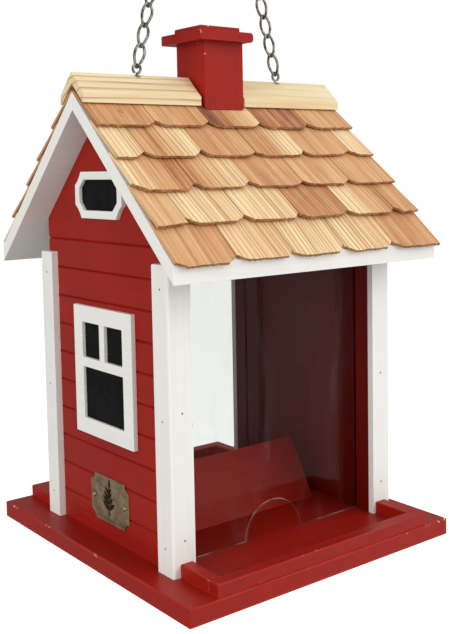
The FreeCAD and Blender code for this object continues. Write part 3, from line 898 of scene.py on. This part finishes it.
@dataclass
class Plaque:
    """The small metal plaque under the near window, with a rim, a leaf sprig and two nails.

    The profile gives, in millimetres, how far inside the edge and how far out each step is. The
    leaf section gives the place across half a leaf's width and the height there in millimetres.
    """

    scoop: float = 6.0 * MM
    steps: int = 8
    profile: tuple[tuple[float, float], ...] = (
        (0, 0), (0, 0.7), (0.3, 1.0), (1.3, 1.0), (1.6, 0.72), (2.3, 0.72), (2.6, 0.88)
    )
    leaf_section: tuple[tuple[float, float], ...] = (
        (-1.0, 0.0), (-0.55, 0.42), (0.0, 0.22), (0.55, 0.42), (1.0, 0.0)
    )
    leaf_rows: int = 9
    leaf_out: float = 0.86 * MM
    stem_out: float = 0.95 * MM
    stem_points: int = 15
    stem_length: float = 22.0 * MM
    stem_foot: float = -11.5 * MM
    stem_bow: float = 2.2 * MM
    leaf_roots: tuple[float, ...] = (0.22, 0.40, 0.58, 0.76)
    nail_y: float = 22.4 * MM
    nail_radius: float = 1.7 * MM
    nail_rings: int = 7
    nail_sides: int = 20

    def outline(self, inset: float, depth: float) -> list[Triple]:
        """The plaque's outline, moved inwards and out from the wall.

        Args:
            inset: How far inside the plaque's edge.
            depth: How far out from the wall.

        Returns:
            Its points in order.
        """
        low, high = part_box("plaque")
        radius = self.scoop + inset
        start = math.asin(inset / radius)
        corners = ((high.y, high.z), (low.y, high.z), (low.y, low.z), (high.y, low.z))
        points = []
        for quarter, (y, z) in enumerate(corners):
            for step in range(self.steps + 1):
                angle = start + (math.pi / 2 - 2 * start) * step / self.steps
                turn = math.pi + quarter * math.pi / 2 + math.pi / 2 - angle
                y_out, z_out = radius * math.cos(turn), radius * math.sin(turn)
                points.append((high.x - depth, y + y_out, z + z_out))
        return points

    def leaf(
        self, solid: Solid, root: tuple[float, float], angle: float, length: float, width: float
    ) -> None:
        """Adds one domed leaf with a creased midrib.

        Args:
            solid: What it is added to.
            root: Its (y, z) root.
            angle: The way it points, in degrees from upright.
            length: Its length.
            width: Its half width.
        """
        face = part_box("plaque")[1].x - self.leaf_out
        turn = math.radians(angle)
        rows, wide = self.leaf_rows, len(self.leaf_section)
        points = []
        for row in range(rows + 1):
            part = row / rows
            ahead = part * length
            half = width * math.sin(math.pi * part ** 0.8) ** 0.8 + 0.05 * MM
            dome = math.sin(math.pi * (0.08 + 0.84 * part)) * MM
            for reach, height in self.leaf_section:
                y = root[0] - (ahead * math.sin(turn) + reach * half * math.cos(turn))
                z = root[1] + ahead * math.cos(turn) - reach * half * math.sin(turn)
                points.append((face - height * dome, y, z))
        faces: Faces = []
        for first in (row * wide + n for row in range(rows) for n in range(wide - 1)):
            faces.append((first, first + 1, first + wide + 1, first + wide))
        last = rows * wide
        rim = list(range(wide)) + list(range(2 * wide - 1, last + wide, wide))
        rim += list(range(last + wide - 2, last, -1)) + list(range(last, 0, -wide))
        solid.add(points, faces + [tuple(rim)])

    def on_stem(self, part: float) -> tuple[float, float]:
        """The (y, z) place on the bowed stem, from its foot at 0 to its tip at 1."""
        foot = (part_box("plaque")[0].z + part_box("plaque")[1].z) / 2 + self.stem_foot
        return self.stem_bow * math.sin(3 * part), foot + self.stem_length * part

    def sprig(self) -> None:
        """Builds the leaf sprig in the middle of the plaque."""
        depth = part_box("plaque")[1].x - self.stem_out
        solid = Solid()
        stem = [(depth, *self.on_stem(t)) for t in np.linspace(0.0, 1.0, self.stem_points)]
        radii = np.linspace(0.55, 0.3, self.stem_points) * MM
        solid.add(*sweep(np.array(stem), radii, 8, False))
        for number, part in enumerate(self.leaf_roots):
            length, width = (10.0 - 1.2 * number) * MM, (2.1 - 0.2 * number) * MM
            for way in (-1, 1):
                self.leaf(solid, self.on_stem(part), way * (58 - 6 * number), length, width)
        y, z = self.on_stem(1.0)
        self.leaf(solid, (y, z - 0.5 * MM), 4, 6.5 * MM, 1.6 * MM)
        bronze = WornMetal("dark_bronze", Metal.BRONZE, 500.0).build()
        place(solid.make("plaque_sprig", [bronze]), "feeder", "antique_brass")

    def nails(self) -> None:
        """Builds the two domed nails, a little out of round."""
        low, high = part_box("plaque_nails")
        middle, face = (low.z + high.z) / 2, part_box("plaque")[0].x
        rings, sides, dome = self.nail_rings, self.nail_sides, self.nail_radius * 0.98
        solid = Solid()
        for y in (-self.nail_y, self.nail_y):
            points = [(face - dome, y, middle)]
            for ring in range(1, rings + 1):
                lean = math.pi / 2 * ring / rings
                out = face - dome * math.cos(lean)
                for angle in (2 * math.pi * corner / sides for corner in range(sides)):
                    dent = 1 + 0.03 * math.sin(3 * angle + y * 900)
                    radius = self.nail_radius * math.sin(lean) * dent
                    spot = (out, y + radius * math.cos(angle), middle + radius * math.sin(angle))
                    points.append(spot)
            points += [(face + 0.4 * MM, py, pz) for _, py, pz in points[-sides:]]
            faces: Faces = [(0, 1 + n, 1 + (n + 1) % sides) for n in range(sides)]
            faces += strips(rings + 1, sides, 1)
            faces.append(tuple(range(1 + rings * sides, 1 + (rings + 1) * sides)))
            solid.add(points, faces)
        brass = WornMetal("nail_brass", Metal.BRIGHT, 700.0).build()
        place(solid.make("plaque_nail_heads", [brass]), "feeder", "antique_brass", "plaque_nails")

    def build(self) -> None:
        """Builds the plate with its stepped rim, then the sprig and the nails."""
        solid = Solid()
        rings = [self.outline(inset * MM, depth * MM) for inset, depth in self.profile]
        count, last = len(rings[0]), len(rings) - 1
        faces = [tuple(range(count)), tuple(range(last * count, (last + 1) * count))]
        solid.add([point for ring in rings for point in ring], faces + strips(last + 1, count))
        brass = WornMetal("antique_brass", Metal.BRASS, 130.0, Axis.Y).build()
        place(solid.make("plaque_plate", [brass], 25.0), "feeder", "antique_brass", "plaque")
        self.sprig()
        self.nails()


# ---- roof --------------------------------------------------------------------------------
class Cut(Enum):
    """How a shingle was sawn: its tone at the left and right, and how far its grain stands out."""

    CREAM = (0.06, 0.12, 1.0)
    HONEY = (0.22, 0.30, 0.75)
    TAN = (0.46, 0.50, 0.25)
    AMBER = (0.58, 0.62, 0.45)
    RUST = (0.70, 0.74, 0.65)
    CREAM_TO_RUST = (0.10, 0.78, 0.85)
    RUST_TO_CREAM = (0.66, 0.10, 0.85)
    BROWN_TO_CREAM = (1.05, 0.22, 0.55)


FRONT_COURSES = (
    (Cut.AMBER, Cut.AMBER, Cut.BROWN_TO_CREAM, Cut.RUST, Cut.AMBER),
    (Cut.CREAM, Cut.RUST_TO_CREAM, Cut.AMBER, Cut.RUST_TO_CREAM, Cut.TAN, Cut.CREAM),
    (Cut.CREAM_TO_RUST, Cut.RUST_TO_CREAM, Cut.AMBER, Cut.TAN, Cut.AMBER),
    (Cut.TAN, Cut.CREAM, Cut.CREAM, Cut.RUST, Cut.CREAM_TO_RUST, Cut.AMBER),
    (Cut.AMBER, Cut.HONEY, Cut.CREAM, Cut.CREAM, Cut.AMBER),
)
PLAIN_CUTS = tuple(Cut)[:-1]


@dataclass(frozen=True)
class Slope:
    """One slope of the roof, with places measured down it from the ridge and square to it."""

    side: int
    ridge: float
    pitch: float = math.atan(0.95)

    def points(self, x: np.ndarray, along: np.ndarray, height: np.ndarray) -> np.ndarray:
        """Places on the slope.

        Args:
            x: Along the ridge.
            along: Down the slope.
            height: Square to it.

        Returns:
            One row of three numbers for each.
        """
        y = along * math.cos(self.pitch) + height * math.sin(self.pitch)
        z = self.ridge - along * math.sin(self.pitch) + height * math.cos(self.pitch)
        return np.stack([x, self.side * y, z], -1).reshape(-1, 3)


@dataclass(frozen=True)
class Shingle:
    """One sawn shingle."""

    left: float
    right: float
    butt: float
    lift: float
    cut: Cut
    seed: int
    square: tuple[int, ...] = ()
    knot: bool = False
    notched: bool = False

    head_gap: float = 43.2 * MM
    head_thick: float = 2.0 * MM
    butt_thick: float = 2.6 * MM
    hole: float = 15.0 * MM
    hole_along: float = 20.8 * MM
    sliver: float = 0.05 * MM
    column: float = 0.5 * MM
    rows: int = 10
    knot_rows: int = 60

    def wander(
        self, rng: np.random.Generator, x: np.ndarray, step: float, depth: float
    ) -> np.ndarray:
        """An uneven line: random heights every so often, joined up.

        Args:
            rng: The shingle's own random numbers.
            x: Where it is read.
            step: The distance between random heights.
            depth: The greatest height either way.

        Returns:
            The line's height at each place.
        """
        knots = np.arange(self.left - step, self.right + 2 * step, step)
        return np.interp(x, knots, rng.uniform(-depth, depth, len(knots)))

    def lines(self, rng: np.random.Generator, x: np.ndarray, along: np.ndarray) -> np.ndarray:
        """The late-wood lines, from 0 to 1, which are also the grooves between raised bands.

        Args:
            rng: The shingle's own random numbers.
            x: Across the shingle.
            along: Down it.

        Returns:
            The strength of the lines at each place.
        """
        strength = self.cut.value[2]
        lean = rng.uniform(-0.035, 0.035)
        total = np.zeros_like(x)
        at = self.left - 3 * MM
        while at < self.right + 3 * MM:
            depth = rng.uniform(0.35, 1.0) * (0.25 + 0.75 * strength)
            width = rng.uniform(0.40, 0.95) * MM
            bend = rng.uniform(-0.25, 0.25) * MM
            drift = lean * (along - self.butt) + bend * np.sin((along - self.butt) * 90)
            total = np.maximum(total, depth * np.exp(-(((x - at - drift) / width) ** 2)))
            at += rng.uniform(2.3, 5.2) * MM
        if self.knot:
            span = np.hypot(x - self.left - 27 * MM, (along - self.butt + 17 * MM) * 1.15)
            total = np.maximum(total, np.exp(-(((span - 1.9 * MM) / (0.45 * MM)) ** 2)))
            total = np.maximum(total, 0.7 * np.exp(-((span / (0.7 * MM)) ** 2)))
        return total

    def ends(self, rng: np.random.Generator, x: np.ndarray) -> np.ndarray:
        """Where the shingle ends in each column: uneven, with its two corners cut away.

        Args:
            rng: The shingle's own random numbers.
            x: Across the shingle.

        Returns:
            The distance down the slope.
        """
        middle, half = (self.left + self.right) / 2, (self.right - self.left) / 2
        end = self.butt + rng.uniform(-0.7, 0.5) * MM
        end = end + rng.uniform(-0.9, 0.9) * MM * (x - middle) / half
        for edge, way in ((self.left, 1), (self.right, -1)):
            reach = min(rng.uniform(6.0, 10.0) * MM, half * 0.8)
            depth, curve = rng.uniform(4.0, 7.0) * MM, rng.uniform(0.95, 1.25)
            inward = np.clip(1 - (x - edge) * way / reach, 0, 1)
            end = end - (0.0 if way in self.square else depth) * inward ** curve
        end = end + self.wander(rng, x, 1.1 * MM, 0.36 * MM)
        return end + self.wander(rng, x, 4.5 * MM, 0.32 * MM)

    @staticmethod
    def faces(columns: int, wide: int) -> tuple[Faces, Faces]:
        """The faces between the points of a shingle.

        Args:
            columns: The points across it.
            wide: The points down its face.

        Returns:
            The faces of its front, back and sides, then those of its sawn butt.
        """
        middle, low, base = (columns * (wide + n) for n in range(3))
        boards: Faces = []
        butts: Faces = []
        for n in range(columns - 1):
            a, b = n * wide, (n + 1) * wide
            boards += [(a + j, b + j, b + j + 1, a + j + 1) for j in range(wide - 1)]
            boards += [(low + n, low + n + 1, base + n + 1, base + n)]
            boards += [(base + n, base + n + 1, b, a)]
            butts += [(b - 1, b + wide - 1, middle + n + 1, middle + n)]
            butts += [(middle + n, middle + n + 1, low + n + 1, low + n)]
        for n in (0, columns - 1):
            column = tuple(range(n * wide, (n + 1) * wide))
            boards.append(column + (middle + n, low + n, base + n))
        return boards, butts

    def add_to(self, solid: Solid, slope: Slope) -> None:
        """Adds the shingle's closed shape and its point values.

        Args:
            solid: The course that it belongs to.
            slope: The slope that it lies on.
        """
        rng = np.random.default_rng(self.seed)
        span = self.right - self.left
        x = np.linspace(self.left, self.right, max(8, round(span / self.column)) + 1)
        if self.notched:
            cuts = [way * (self.hole + gap) for way in (-1, 1) for gap in (0.0, self.sliver)]
            x = np.unique(np.concatenate([x, cuts]))
        first = max(self.butt - self.head_gap, 0.4 * MM)
        head = np.full(len(x), first)
        if self.notched:
            head[np.abs(x) <= self.hole] = self.hole_along
        end = self.ends(rng, x)
        rows = self.knot_rows if self.knot else self.rows
        down = np.concatenate([[0.0], np.linspace(0.15, 1.0, rows)])
        along = head[:, None] + (end - head)[:, None] * down
        across = np.repeat(x[:, None], len(down), 1)
        part = (along - first) / (self.butt - first)
        line = self.lines(rng, across, along)
        curl = rng.uniform(-0.1, 0.5) * MM * ((across - self.left) / span - 0.5)
        warp = (rng.uniform(0.0, 0.45) * MM + curl) * part ** 2
        ribs = self.wander(rng, x, 2.4 * MM, 0.10 * MM)[:, None]
        ribs = ribs - line * (0.15 + 0.45 * self.cut.value[2]) * MM
        thick = self.head_thick + (self.lift + self.butt_thick - self.head_thick) * part
        top = thick + (ribs - 0.1 * MM) * np.clip(part * 3, 0, 1) + warp
        under = self.lift * part[:, -1] + warp[:, -1]
        half_way = (top[:, -1] + under) / 2
        rough = self.wander(rng, x, 0.9 * MM, 0.42 * MM)
        back = end - rng.uniform(0.1, 0.5) * MM + rough
        rims = [
            slope.points(across, along, top),
            slope.points(x, (end + back) / 2 + rough * 0.4, half_way),
            slope.points(x, back, under),
            slope.points(x, head, self.lift * part[:, 0]),
        ]
        solid.add(np.concatenate(rims), *self.faces(len(x), len(down)))
        shift = rng.uniform(0.0, 9.0, 2)
        wide = np.concatenate([across.ravel(), x, x, x])
        deep = np.concatenate([along.ravel(), end, back, head])
        high = np.concatenate([top.ravel(), half_way, under, head * 0])
        solid.mark("grain", np.stack([wide + shift[0], deep + shift[1], high], -1))
        turn = (wide - self.left) / span + self.wander(rng, wide, 6 * MM, 0.12)
        turn = np.clip(turn, 0, 1)
        turn = turn * turn * (3 - 2 * turn)
        left, right, _ = self.cut.value
        solid.mark("tone", left + (right - left) * turn + rng.uniform(-0.06, 0.06))
        solid.mark("line", np.concatenate([line.ravel(), line[:, -1], line[:, -1], line[:, 0]]))


@dataclass
class Shingles:
    """Ten courses of cedar shingles, five on each slope."""

    first_butt: float = 43.4 * MM
    exposure: float = 33.2 * MM
    per_course: int = 5
    gap: float = 0.8 * MM
    lift: float = 3.2 * MM
    slack: float = 0.9 * MM
    seed: int = 4117

    def joints(self, row: int, half: float) -> list[float]:
        """Where shingles meet: every second course starts and ends with half a shingle.

        Args:
            row: The course, from the ridge.
            half: Half the length of the roof.

        Returns:
            The places along the ridge, with both ends of the roof.
        """
        width = 2 * half / self.per_course
        if row % 2 == 0:
            return [-half + width * n for n in range(self.per_course + 1)]
        return [-half] + [-half + width * (n + 0.5) for n in range(self.per_course)] + [half]

    def square_ends(self, side: int, row: int, number: int, count: int) -> tuple[int, ...]:
        """Which lower corners of a shingle were left square.

        Args:
            side: The slope, -1 for the front.
            row: The course, from the ridge.
            number: The shingle, from the near gable.
            count: How many shingles the course has.

        Returns:
            1 for the corner towards the near gable and -1 for the one towards the far gable.
        """
        if side < 0 and row == 3 and number == 0:
            return (1, -1)
        if number == 0 and row in (0, 1, 3):
            return (1,)
        return (-1,) if number == count - 1 else ()

    def course(
        self, side: int, row: int, cuts: Sequence[Cut], chance: np.random.Generator
    ) -> Solid:
        """Lays one course.

        Args:
            side: The slope, -1 for the front.
            row: The course, from the ridge.
            cuts: How its shingles were sawn.
            chance: The random numbers of the whole roof.

        Returns:
            The course's separate shingles.
        """
        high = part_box("front_roof_board")[1]
        slope = Slope(side, high.z)
        joints = self.joints(row, high.x)
        solid = Solid()
        for number, (left, right) in enumerate(zip(joints, joints[1:])):
            other = PLAIN_CUTS[int(chance.integers(len(PLAIN_CUTS)))] if side > 0 else None
            loose = chance.uniform(0.35, 0.8, 2) * self.gap
            shingle = Shingle(
                left=left + loose[0],
                right=right - loose[1],
                butt=self.first_butt + row * self.exposure,
                lift=self.slack + (0.0 if row == self.per_course - 1 else self.lift),
                cut=other or cuts[number],
                seed=self.seed + 100 * row + 10 * number + (5 if side > 0 else 0),
                square=self.square_ends(side, row, number, len(cuts)),
                knot=side < 0 and row == 0 and number == 0,
                notched=row == 0 and number == 2,
            )
            shingle.add_to(solid, slope)
        return solid

    def build(self) -> None:
        """Builds every course as one piece of separate shingles."""
        materials = [SawnCedar().build(), CedarEnd().build()]
        chance = np.random.default_rng(self.seed)
        for side, name in ((-1, "front"), (1, "back")):
            for row, cuts in enumerate(FRONT_COURSES):
                solid = self.course(side, row, cuts, chance)
                piece = solid.make("%s_shingles_%d" % (name, row + 1), materials, 42.0)
                node = "%s_shingle_course_%d" % (name, row + 1)
                place(piece, "feeder", "cedar_shingle", node)


@dataclass
class RoofBoards:
    """The white roof boards and the bare pine ridge caps."""

    soft: float = 1.2 * MM
    cap_soft: float = 1.0 * MM
    wear: float = 0.35
    cap_lines: tuple[tuple[str, float], ...] = (("near", 0.85), ("far", 0.22))
    heart_y: float = -18.0 * MM
    heart_drop: float = 52.0 * MM

    def build(self) -> None:
        """Paints the boards and dresses the caps."""
        for side in SIDES:
            paint(side + "_roof_board", Paint.WHITE, Axis.X, self.wear, self.soft)
        for end, lines in self.cap_lines:
            low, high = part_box(end + "_screw_eye")
            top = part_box(end + "_ridge_cap")[1].z
            eye = ((low.x + high.x) / 2, 0.0, top - 0.5 * MM)
            heart = (0.0, self.heart_y, top - self.heart_drop)
            pine = RidgePine(end + "_ridge_pine", heart, lines, eye)
            dress(end + "_ridge_cap", pine.build(), self.cap_soft)


@dataclass
class Chimney:
    """The lift-off chimney."""

    plug_soft: float = 0.6 * MM
    body_wear: float = 1.2
    top_wear: float = 0.9
    plug_wear: float = 0.3

    def build(self) -> None:
        """Paints its four parts."""
        paint("chimney_column", Paint.RED, Axis.Z, self.body_wear)
        paint("chimney_crown", Paint.RED, Axis.X, self.top_wear)
        paint("chimney_top_plate", Paint.RED, Axis.X, self.top_wear)
        paint("chimney_plug", Paint.RED, Axis.Z, self.plug_wear, self.plug_soft)


# ---- hanger ------------------------------------------------------------------------------
@dataclass
class Chain:
    """One chain of twisted links from a screw eye up to the ring."""

    end: str
    links: int = 17
    pitch: float = 16.0 * MM
    half_length: float = 9.15 * MM
    half_width: float = 3.75 * MM
    wire: float = 1.1 * MM
    side_power: float = 0.86
    bow_power: float = 0.80
    hook_in: float = 2.0 * MM
    slack: float = 0.15 * MM
    steps: int = 40
    sides: int = 10

    def link(self, foot: Vector, way: Vector, twist: float) -> np.ndarray:
        """The centre line of one link.

        Args:
            foot: The link's centre.
            way: The chain's direction.
            twist: How far the upper bow is turned from the lower one, in radians.

        Returns:
            The points of its loop.
        """
        deep = Vector((0.0, 1.0, 0.0))
        wide = deep.cross(way)
        points = []
        for step in range(self.steps):
            angle = 2 * math.pi * step / self.steps
            across, along = math.sin(angle), -math.cos(angle)
            x = self.half_width * math.copysign(abs(across) ** self.side_power, across)
            z = self.half_length * math.copysign(abs(along) ** self.bow_power, along)
            part = (z / self.half_length + 1) / 2
            turn = twist * part * part * (3 - 2 * part)
            points.append(foot + way * z + x * (math.cos(turn) * deep + math.sin(turn) * wide))
        return np.array(points)

    def build(self, ring: Vector, material: Material) -> None:
        """Builds the chain on the line from its eye to the ring.

        Args:
            ring: The middle of the ring.
            material: The steel.
        """
        low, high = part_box(self.end + "_screw_eye")
        radius = (high.x - low.x) / 2
        eye = Vector(((low.x + high.x) / 2, 0.0, high.z - radius))
        way = (ring - eye).normalized()
        foot = eye + way * (radius - self.hook_in + self.half_length - self.wire - self.slack)
        solid = Solid()
        for number in range(self.links):
            twist = -math.pi / 2 if number < self.links - 1 else 0.0
            loop = self.link(foot + way * self.pitch * number, way, twist)
            solid.add(*sweep(loop, np.full(len(loop), self.wire), self.sides, True))
        name = self.end + "_chain"
        place(solid.make(name + "_links", [material]), "chains", "steel_chain", name)


@dataclass
class Hanger:
    """The screw eyes, the two chains, the ring and the S-shaped hook."""

    eye_wire: float = 1.0 * MM
    shank: float = 18.0 * MM
    shank_points: int = 10
    eye_start: float = -78.0
    eye_turn: float = 318.0
    eye_steps: int = 36
    hook_wire: float = 1.75 * MM
    ring_wire: float = 1.5 * MM
    hook_sweep: float = 245.0
    sides: int = 16

    def screw_eye(self, end: str, material: Material) -> None:
        """Builds a screw eye bent from one wire, not quite closed.

        Args:
            end: The gable that it is nearest to.
            material: The steel.
        """
        low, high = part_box(end + "_screw_eye")
        radius = (high.x - low.x) / 2 - self.eye_wire
        centre = np.array([(low.x + high.x) / 2, 0.0, high.z - radius - self.eye_wire])
        way = 1 if end == "near" else -1
        points = [(0.0, 0.0, 2 * MM * n - radius - self.shank) for n in range(self.shank_points)]
        for part in (step / self.eye_steps for step in range(self.eye_steps + 1)):
            angle = math.radians(self.eye_start + self.eye_turn * part)
            spot = (way * radius * math.cos(angle), 0.12 * MM * part, radius * math.sin(angle))
            points.append(spot)
        path = centre + np.array(points)
        radii = np.full(len(path), self.eye_wire)
        radii[0] = 0.3 * self.eye_wire
        radii[-1] = 0.8 * self.eye_wire
        solid = Solid()
        solid.add(*sweep(path, radii, 12, False))
        piece = solid.make(end + "_eye_wire", [material])
        place(piece, "feeder", "steel_chain", end + "_screw_eye")

    def ring(self, material: Material) -> Vector:
        """Builds the ring, with the swelling where it was welded.

        Args:
            material: The steel.

        Returns:
            Its middle.
        """
        low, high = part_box("hanging_ring")
        centre = (low + high) / 2
        radius = (high.x - low.x) / 2 - self.ring_wire
        turns = np.linspace(0, 2 * math.pi, 96, endpoint=False)
        x, z = centre.x + radius * np.cos(turns), centre.z + radius * np.sin(turns)
        weld = np.exp(-(((turns - 0.9) / 0.09) ** 2))
        radii = self.ring_wire * (1 + 0.13 * weld)
        solid = Solid()
        solid.add(*sweep(np.stack([x, turns * 0, z], -1), radii, self.sides, True))
        place(solid.make("welded_ring", [material]), "ring", "steel_chain", "hanging_ring")
        return centre

    def hook(self, material: Material) -> None:
        """Builds the S-hook as one bent rod with rounded ends.

        Args:
            material: The steel.
        """
        low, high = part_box("hanging_hook")
        radius = (high.z - low.z - 2 * self.hook_wire) / 4
        foot, top = low.z + self.hook_wire + radius, high.z - self.hook_wire - radius
        turns = np.radians(np.linspace(self.hook_sweep, 0, 60))
        y, z = radius * np.sin(turns), radius * np.cos(turns)
        lower = np.stack([turns * 0, y, foot + z], -1)
        upper = np.stack([turns * 0, -y, top - z], -1)[::-1]
        path = np.concatenate([lower, upper[1:]])
        radii = np.full(len(path), self.hook_wire)
        ends = self.hook_wire * np.array([0.30, 0.66, 0.87, 0.97])
        tips = []
        for tip, inner in ((path[0], path[1]), (path[-1], path[-2])):
            out = (tip - inner) / np.linalg.norm(tip - inner)
            tips.append(tip + out * self.hook_wire * np.array([[0.95], [0.75], [0.5], [0.25]]))
        path = np.concatenate([tips[0], path, tips[1][::-1]])
        solid = Solid()
        solid.add(*sweep(path, np.concatenate([ends, radii, ends[::-1]]), self.sides, False))
        place(solid.make("bent_hook", [material]), "hook", "steel_chain", "hanging_hook")

    def build(self) -> None:
        """Builds the whole hanger."""
        # The steel's dark clouds are painted dark reflections as well as tarnish.
        steel = WornMetal("plated_steel", Metal.STEEL, 260.0).build()
        centre = self.ring(steel)
        self.hook(steel)
        for end in ENDS:
            self.screw_eye(end, steel)
            Chain(end).build(centre, steel)


def main() -> None:
    """Builds the studio and every piece."""
    logging.basicConfig(level=logging.INFO, format="%(message)s")
    Studio().build()
    BaseAndTrays().build()
    House().build()
    ClearPanels().build()
    Plaque().build()
    RoofBoards().build()
    Shingles().build()
    Chimney().build()
    Hanger().build()
    bpy.context.view_layer.update()


if __name__ == "__main__":
    main()
